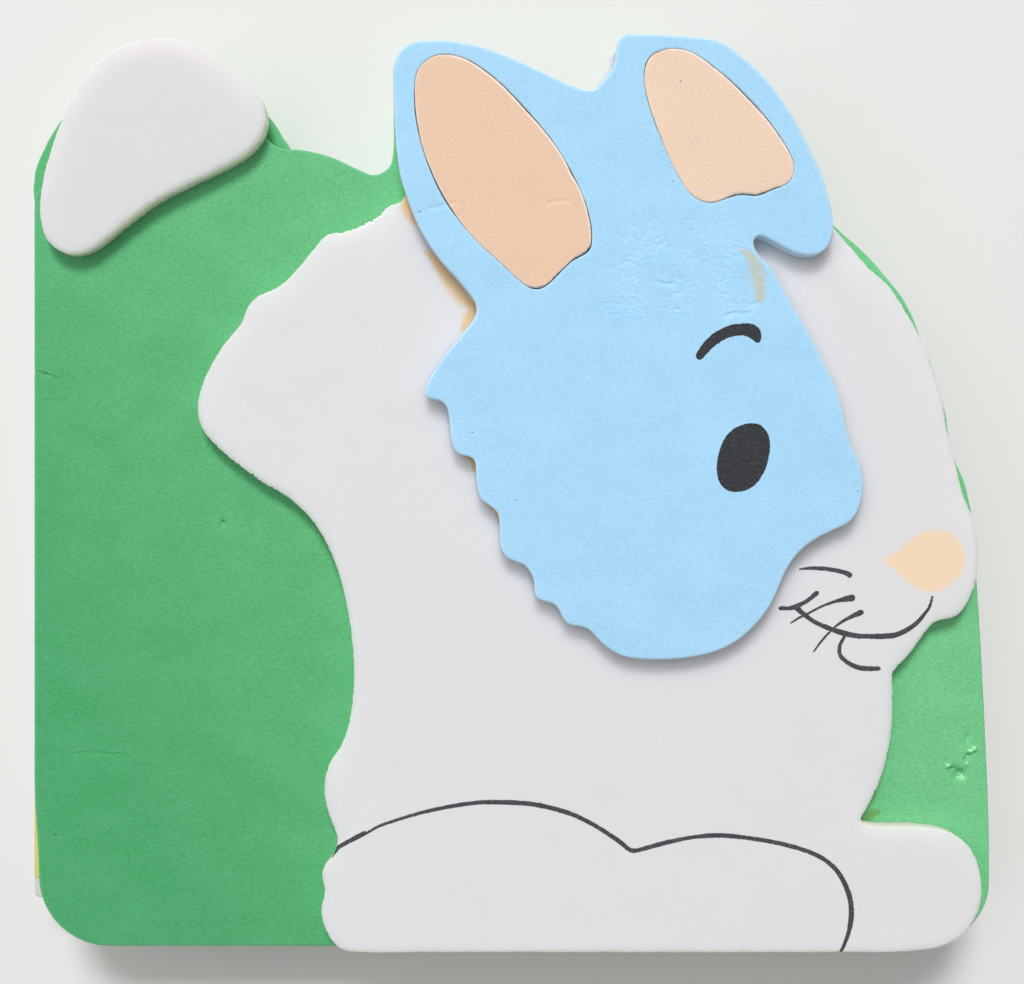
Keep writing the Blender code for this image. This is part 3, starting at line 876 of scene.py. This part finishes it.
def cut_foam(name, body, loops, bottom, top, materials, rim=RIM, spacing=SPACING, marks=None, nibbles=(),
             tucks=(), fuzz=FUZZ, foot=FOOT_RIM):
    """A sheet of foam: rounded rims, slightly rough cut walls, and whatever marks its top face carries.

    loops holds the outline first and then its holes; materials holds foam, ink and speck in that order, or
    foam alone for a sheet without marks. On the cover the ink's place holds its painted highlights.
    """
    sheet = Sheet(bottom, top, marks)
    for order, loop in enumerate(loops):
        loop = anticlockwise(smoothed(even(loop, spacing), SMOOTHING))
        loop = loop[::-1] if order else loop
        radius = HOLE_RIM if order else rim
        tuck = set_back(loop, tucks, top)
        nibble = set_back(loop, nibbles, top, layered(loop, NIBBLE_TEETH, ragged=True)) if nibbles else 0.0
        share = rim_share(loop, radius + FLAT_BAND, spacing)
        sheet.add_wall(loop, wall_rings(bottom, top, radius, foot), share, tuck, nibble, fuzz)
    sheet.close(sheet.upper, top, marks)
    sheet.close(sheet.lower, bottom, facing_down=True)
    piece = sheet.piece(name, materials)
    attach(piece, body)
    return piece


def linear(colour):
    """A colour out of 255, as the renderer's own values."""
    return tuple(((c / 255.0 + 0.055) / 1.055) ** 2.4 for c in colour)


# The foam's pattern, in features for each millimetre along x, y and z
DASHES = (1.7, 3.4, 3.4)
CELLS = (3.6, 4.4, 4.4)
CLOUDS = (0.11, 0.16, 0.16)
INK_CELLS = (3.6, 4.2, 4.2)
# How strongly cells and clouds show in the colour, and dashes and cells in the relief
CELL_SHARE = 0.6
CLOUD_SHARE = 0.45
DASH_HEIGHT = 0.65
CELL_HEIGHT = 0.35
# The green's painted sheen, paler towards the fore edge and the head: its share in the middle, its change for
# each metre across and up, and the grain's strength along it, as growth and start
SHEEN_MIDDLE = 0.65
SHEEN_SLOPE = (7.5, 4.5, 0.0)
SHEEN_GRAIN = (0.6, 0.8)
# How clouds thin a stain and a painted highlight, how dashes tone an ink, and which cells it leaves bare, each
# as growth and start
STAIN_CLOUDS = (0.5, 0.7)
INK_TONE = (1.5, 0.25)
BARE_CELLS = (5.0, -2.9)
# How much deeper the relief of worn foam is
WORN_RELIEF = 1.2
# How far red, green and blue light spread inside foam, against each other
GLOW_TINT = (1.0, 0.9, 0.75)
# How much of a cut edge takes the edge's colour, which is partly the cut foam's own and partly a painted
# highlight along the rims
EDGE_SHARE = 0.8
FOAM_ROUGHNESS = 0.85
FOAM_SHINE = 0.25
INK_ROUGHNESS = 0.7
INK_SHINE = 0.3
INK_RELIEF = 0.02 * MM


class Tree:
    """Short calls for building one material's nodes."""

    def __init__(self, name):
        self.material = bpy.data.materials.new(name)
        self.material.use_nodes = True
        self.nodes = self.material.node_tree.nodes
        self.links = self.material.node_tree.links
        self.shader = self.nodes["Principled BSDF"]

    def add(self, kind, inputs=(), **settings):
        made = self.nodes.new(kind)
        for key, value in settings.items():
            setattr(made, key, value)
        for key, value in dict(inputs).items():
            self.put(made.inputs[key], value)
        return made

    def put(self, socket, value):
        if isinstance(value, bpy.types.NodeSocket):
            self.links.new(value, socket)
        else:
            socket.default_value = value

    def math(self, operation, a, b=0.0, c=0.0, clamp=False):
        return self.add("ShaderNodeMath", {0: a, 1: b, 2: c}, operation=operation, use_clamp=clamp).outputs[0]

    def centred(self, value, share):
        """The value times a share, moved so that its middle is nought."""
        return self.math("MULTIPLY_ADD", value, share, -share / 2)

    def noise(self, per_mm, detail, roughness=0.5):
        """Noise whose features are about one over per_mm millimetres in size."""
        place = self.add("ShaderNodeTexCoord").outputs["Object"]
        per_metre = tuple(p / MM for p in per_mm)
        scaled = self.add("ShaderNodeVectorMath", {0: place, 1: per_metre}, operation="MULTIPLY").outputs[0]
        settings = {"Vector": scaled, "Scale": 1.0, "Detail": detail, "Roughness": roughness}
        return self.add("ShaderNodeTexNoise", settings).outputs["Fac"]

    def field(self, name):
        return self.add("ShaderNodeAttribute", attribute_name=name).outputs["Fac"]

    def finish(self, colour, height, depth, roughness, shine):
        """Give the shader its colour, a relief from the height, and constants for how it shines."""
        self.put(self.shader.inputs["Base Color"], colour)
        relief = self.add("ShaderNodeBump", {"Height": height, "Strength": 1.0, "Distance": depth})
        self.put(self.shader.inputs["Normal"], relief.outputs[0])
        self.shader.inputs["Roughness"].default_value = roughness
        self.shader.inputs["Specular IOR Level"].default_value = shine

    def mix(self, factor, a, b):
        made = self.add("ShaderNodeMix", data_type="RGBA")
        colours = [s for s in made.inputs if s.type == "RGBA"]
        self.put(made.inputs[0], factor)
        for socket, value in zip(colours, (a, b)):
            self.put(socket, value if isinstance(value, bpy.types.NodeSocket) else (*value, 1.0))
        return next(s for s in made.outputs if s.type == "RGBA")


def foam(name, colour, edge, grain, bump, stain_and_highlight=GLUE, painted_sheen=None, roughness=FOAM_ROUGHNESS, glow=0.0,
         fleck=(1.0, 1.0, 1.0)):
    """Closed-cell foam: a fine grain that runs across the sheet, small cells, and paler cut edges, partly a
    painted highlight along the rims.

    Grain is how strongly the pattern shows in the colour, and bump its height in millimetres. A painted sheen
    is a paler colour that shows more and more towards the fore edge and the head of the book. Glow is how far
    light spreads inside the foam, in millimetres. Fleck is the grain's share in red, green and blue.
    """
    tree = Tree(name)
    dashes = tree.noise(DASHES, 2.0, 0.6)
    cells = tree.noise(CELLS, 1.0)
    clouds = tree.noise(CLOUDS, 2.0)
    fine = tree.math("ADD", tree.centred(dashes, grain), tree.centred(cells, grain * CELL_SHARE))
    level = tree.math("ADD", fine, tree.centred(clouds, grain * CLOUD_SHARE))
    dye_and_sheen = linear(colour)
    # Painted sheen: the green grows paler towards the fore edge and the head of the book
    if painted_sheen:
        place = tree.add("ShaderNodeTexCoord").outputs["Object"]
        slope = tree.add("ShaderNodeVectorMath", {0: place, 1: SHEEN_SLOPE}, operation="DOT_PRODUCT")
        share = tree.math("ADD", slope.outputs["Value"], SHEEN_MIDDLE, clamp=True)
        dye_and_sheen = tree.mix(share, dye_and_sheen, linear(painted_sheen))
        level = tree.math("MULTIPLY", level, tree.math("MULTIPLY_ADD", share, *SHEEN_GRAIN))
    tint = tuple(c * f for c, f in zip(linear(colour), fleck))
    base = tree.add("ShaderNodeVectorMath", {0: level, 1: tint, 2: dye_and_sheen}, operation="MULTIPLY_ADD").outputs[0]
    cloudy = tree.math("MULTIPLY_ADD", clouds, *STAIN_CLOUDS)
    base = tree.mix(tree.math("MULTIPLY", tree.field("stain_and_highlight"), cloudy, clamp=True), base, linear(stain_and_highlight))
    base = tree.mix(tree.field("nose"), base, linear(NOSE))
    # Paler cut edges and rims: partly the foam's own colour, partly a painted highlight
    base = tree.mix(tree.math("MULTIPLY", tree.field("edge"), EDGE_SHARE), base, linear(edge))
    height = tree.math(
        "ADD", tree.math("MULTIPLY", dashes, DASH_HEIGHT), tree.math("MULTIPLY", cells, CELL_HEIGHT),
    )
    height = tree.math("MULTIPLY", height, tree.math("MULTIPLY_ADD", tree.field("worn"), WORN_RELIEF, 1.0))
    tree.finish(base, height, bump * MM, roughness, FOAM_SHINE)
    if glow:
        tree.shader.subsurface_method = "BURLEY"
        tree.shader.inputs["Subsurface Weight"].default_value = 1.0
        tree.shader.inputs["Subsurface Radius"].default_value = GLOW_TINT
        tree.shader.inputs["Subsurface Scale"].default_value = glow * MM
    return tree.material


def ink_and_highlight(name, colour, under, gaps):
    """Dark ink on foam, with the foam's grain and a few cells left uncovered; it also makes specks and the
    cover's painted highlights.
    """
    tree = Tree(name)
    dashes = tree.noise(DASHES, 2.0, 0.6)
    cells = tree.noise(INK_CELLS, 2.0)
    bare = tree.math("MULTIPLY", tree.math("MULTIPLY_ADD", cells, *BARE_CELLS, clamp=True), gaps)
    tone = tree.math("MULTIPLY_ADD", dashes, *INK_TONE)
    base = tree.add("ShaderNodeVectorMath", {0: linear(colour), "Scale": tone}, operation="SCALE").outputs[0]
    tree.finish(tree.mix(bare, base, linear(under)), cells, INK_RELIEF, INK_ROUGHNESS, INK_SHINE)
    return tree.material


green = foam(
    "green_foam", GREEN, GREEN_EDGE_AND_HIGHLIGHT, 0.52, 0.07, stain_and_highlight=OLIVE_STAIN, painted_sheen=GREEN_PAINTED_SHEEN, fleck=(2.0, 0.9, 1.5)
)
white = foam("white_foam", WHITE, WHITE_EDGE, 0.05, 0.02, glow=5.0)
# The tail's darker white is painted shade
shaded_white_tail = foam("shaded_white_tail_foam", WHITE_SHADED_TAIL, WHITE_EDGE, 0.05, 0.02, glow=4.5)
# The white leaf's greyer white is partly dirt, partly painted shade
dirt_and_shade_white = foam("dirt_and_shade_white_foam", WHITE_DIRT_AND_SHADE, WHITE_DIRT_AND_SHADE, 0.08, 0.02)
blue = foam(
    "blue_foam", BLUE, BLUE_EDGE, 0.24, 0.06, stain_and_highlight=BLUE_STAIN, glow=0.7, fleck=(1.6, 1.0, 0.8)
)
# The peach foams' stain colour paints the highlight along the linings' lit rims
peach = foam("peach_foam", PEACH, PEACH_EDGE_AND_HIGHLIGHT, 0.16, 0.05, stain_and_highlight=PEACH_EDGE_AND_HIGHLIGHT, glow=0.7)
pale_peach = foam("pale_peach_foam", PEACH_PALE, PEACH_EDGE_AND_HIGHLIGHT, 0.18, 0.05, stain_and_highlight=PEACH_EDGE_AND_HIGHLIGHT, glow=0.7)
yellow = foam("yellow_foam", YELLOW, YELLOW, 0.16, 0.03)
glue = foam("seam_glue", SEAM_GLUE, SEAM_GLUE, 0.2, 0.05, roughness=0.5)
head_ink = ink_and_highlight("print_on_blue", INK, BLUE, 0.12)
body_ink = ink_and_highlight("print_on_white", PEN, WHITE, 0.35)
speck_dark = ink_and_highlight("speck", SPECK, SPECK, 0.0)
# Painted highlights on the lit walls of the cover's dents
painted_highlight_green = ink_and_highlight("painted_highlight_green", GREEN_PAINTED_HIGHLIGHT, GREEN_PAINTED_HIGHLIGHT, 0.0)
speck_green = ink_and_highlight("green_speck", GREEN_SPECK, GREEN, 0.0)

# The cover's ink marks are painted highlights on the lit walls of its dents
cover_marks = Marks(
    COVER_TOP, creases=COVER_CREASES, dents=COVER_DENTS, stains_and_highlights=COVER_STAIN, specks=COVER_SPECKS,
    ink_and_highlight=[speck(mark, COVER_TOP) for mark in COVER_PAINTED_HIGHLIGHTS],
)
body_marks = Marks(
    BODY_TOP, creases=BODY_CREASES, stains_and_highlights=BODY_GLUE, nose=NOSE_EDGE,
    ink_and_highlight=[stroke(s, BODY_TOP) for s in FACE_STROKES + HAUNCH_STROKES],
)
head_marks = Marks(
    HEAD_TOP, creases=HEAD_CREASES, dents=HEAD_DENTS, crumple=CRUMPLE, stains_and_highlights=HEAD_STAIN, broken=0.4,
    ink_and_highlight=[blot(EYE, HEAD_TOP), blot(BROW, HEAD_TOP)], specks=HEAD_SPECKS,
)


cover = cut_foam(
    "green_cover_sheet", "front_cover", outlines("front_cover"), COVER_BOTTOM, COVER_TOP,
    [green, painted_highlight_green, speck_green], rim=COVER_RIM, marks=cover_marks, tucks=COVER_TUCKS,
)
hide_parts("front_cover")

body = cut_foam(
    "white_body_sheet", "front_cover", outlines("rabbit_body"), COVER_TOP, BODY_TOP,
    [white, body_ink, speck_dark], spacing=WHITE_SPACING, marks=body_marks, nibbles=BODY_NIBBLES,
    tucks=BODY_TUCKS, fuzz=WHITE_FUZZ,
)
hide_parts("rabbit_body")

tail = cut_foam(
    "white_tail_sheet", "front_cover", outlines("rabbit_tail"), COVER_TOP, BODY_TOP,
    [shaded_white_tail], rim=COVER_RIM, spacing=WHITE_SPACING, nibbles=TAIL_NIBBLES, fuzz=WHITE_FUZZ,
)
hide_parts("rabbit_tail")

head_loops = outlines("rabbit_head")
head = cut_foam(
    "blue_head_sheet", "front_cover", head_loops, BODY_TOP, HEAD_TOP, [blue, head_ink, speck_dark],
    rim=HEAD_RIM, marks=head_marks, tucks=HEAD_TUCKS,
)
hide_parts("rabbit_head")


def let_in(hole, seed):
    """An outline that fills a hole in the head but for a narrow, uneven cut."""
    loop = anticlockwise(even(hole, SPACING))
    uneven = layered(loop, [(SLACK_HEIGHT, SLACK_SIZE, seed)])
    slack = LINING_SLACK * np.clip(SLACK_MEAN + uneven, SLACK_LEAST, 1.0)
    for gape in LINING_GAPES:
        slack += gape[3] * MM * nearness(loop, gape, HEAD_TOP, GAPE_REACH)
    return loop - outward(loop) * slack[:, None]


def painted_rim_highlight(loop):
    """The stretch of a lining's rim that faces up and right, towards the light, where a highlight is painted
    paler.
    """
    facing = outward(loop) @ HIGHLIGHT_RIM_FACES > HIGHLIGHT_RIM_TURN
    first = next(i for i in range(len(loop)) if facing[i] and not facing[i - 1])
    run = int(np.argmin(np.roll(facing, -first)))
    path = np.roll(loop - outward(loop) * HIGHLIGHT_RIM_INSET, -first, 0)[:run:4]
    taper = np.sin(np.linspace(0.1, math.pi - 0.1, len(path)))
    return np.column_stack([path, HIGHLIGHT_RIM_WIDTH * np.minimum(1.0, HIGHLIGHT_RIM_TAPER * taper)])


left_hole, right_hole = sorted(head_loops[1:], key=lambda loop: loop[:, 0].mean())
left_loop, right_loop = let_in(left_hole, LEFT_SEED), let_in(right_hole, RIGHT_SEED)
left_marks = Marks(HEAD_TOP, creases=LEFT_LINING_CREASES)
# Each lining's stains hold only a painted highlight along its lit rim
left_marks.stains_and_highlights = [painted_rim_highlight(left_loop)]
right_marks = Marks(HEAD_TOP, specks=RIGHT_LINING_SPECKS)
right_marks.stains_and_highlights = [painted_rim_highlight(right_loop)]

left_lining = cut_foam(
    "left_ear_lining", "front_cover", [left_loop], BODY_TOP, HEAD_TOP,
    [peach], rim=LINING_RIM, marks=left_marks, nibbles=LEFT_LINING_NIBBLES,
)
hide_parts("left_ear_inlay")

right_lining = cut_foam(
    "right_ear_lining", "front_cover", [right_loop], BODY_TOP, HEAD_TOP,
    [pale_peach, body_ink, speck_dark], rim=LINING_RIM, marks=right_marks, nibbles=RIGHT_LINING_NIBBLES,
)
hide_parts("right_ear_inlay")

LEAVES = [
    ("blue_leaf", blue, "blue_foam"), ("white_leaf", dirt_and_shade_white, "white_foam"),
    ("yellow_leaf", yellow, None), ("green_leaf", green, "green_foam"),
]
for number, (name, material, slot) in enumerate(LEAVES):
    low = PAGES_BOTTOM + number * STEP
    leaf = cut_foam(
        name, "pages", section("pages", low + CUT_SHARE * SHEET), low, low + SHEET, [material],
        rim=LEAF_RIM, spacing=HIDDEN_SPACING, tucks=GREEN_LEAF_TUCKS if name == "green_leaf" else LEAF_TUCKS,
    )
    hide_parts("pages")
    if number:
        seam = cut_foam(
            f"glue_seam_{number}", "pages", section("pages", low - (STEP - SHEET) / 2), low - STEP + SHEET, low,
            [glue], rim=GLUE_RIM, spacing=HIDDEN_SPACING, foot=GLUE_RIM, fuzz=GLUE_FUZZ,
        )
        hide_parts("pages")

back = cut_foam(
    "green_back_sheet", "back_cover", outlines("back_cover"), 0.0, BACK_TOP,
    [green], rim=LEAF_RIM, spacing=HIDDEN_SPACING, foot=LEAF_RIM,
)
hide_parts("back_cover")

# Floor, light and camera
FLOOR_HALF = 3.0
FLOOR_COLOUR = (232, 232, 230)
FLOOR_ROUGHNESS = 0.9
AMBIENT = 0.24

floor_mesh = bpy.data.meshes.new("floor")
corners = [(x * FLOOR_HALF, y * FLOOR_HALF, 0) for x, y in ((-1, -1), (1, -1), (1, 1), (-1, 1))]
floor_mesh.from_pydata(corners, [], [(0, 1, 2, 3)])
floor = in_scene("floor", floor_mesh)
floor_tree = Tree("pale_floor")
floor_tree.shader.inputs["Base Color"].default_value = (*linear(FLOOR_COLOUR), 1.0)
floor_tree.shader.inputs["Roughness"].default_value = FLOOR_ROUGHNESS
floor_mesh.materials.append(floor_tree.material)


def soft_light(name, height, turn, away, side, power):
    """A square light that faces the book, height degrees up and turn degrees to the left of its head."""
    data = bpy.data.lights.new(name, "AREA")
    data.shape = "SQUARE"
    data.size = side
    data.energy = power
    light = in_scene(name, data)
    up, left = math.radians(height), math.radians(turn)
    towards = Vector((-math.sin(left) * math.cos(up), math.cos(left) * math.cos(up), math.sin(up)))
    light.location = towards * away
    light.rotation_mode = "QUATERNION"
    light.rotation_quaternion = towards.to_track_quat("Z", "Y")


soft_light("window_light", height=51.0, turn=6.0, away=4.0, side=1.1, power=110.5)
soft_light("room_light", height=66.0, turn=75.0, away=1.5, side=1.7, power=7.6)

world = bpy.data.worlds.new("studio")
world.use_nodes = True
sky = world.node_tree.nodes["Background"]
sky.inputs["Color"].default_value = (1.0, 1.0, 1.0, 1.0)
sky.inputs["Strength"].default_value = AMBIENT
backdrop = world.node_tree.nodes.new("ShaderNodeBackground")
backdrop.inputs["Color"].default_value = (*linear(FLOOR_COLOUR), 1.0)
in_view = world.node_tree.nodes.new("ShaderNodeLightPath").outputs["Is Camera Ray"]
both = world.node_tree.nodes.new("ShaderNodeMixShader")
for source, socket in zip((in_view, sky.outputs[0], backdrop.outputs[0]), both.inputs):
    world.node_tree.links.new(source, socket)
world.node_tree.links.new(both.outputs[0], world.node_tree.nodes["World Output"].inputs["Surface"])
bpy.context.scene.world = world
bpy.context.scene.view_settings.view_transform = "Standard"

camera_data = bpy.data.cameras.new("camera")
camera_data.sensor_width = SENSOR_WIDTH_MM
camera_data.lens = SENSOR_WIDTH_MM * FOCAL_PIXELS / IMAGE_WIDTH
camera_data.clip_start = 0.01
camera = in_scene("camera", camera_data)
camera.location = (VIEW_X, VIEW_Y, CAMERA_Z)
bpy.context.scene.camera = camera
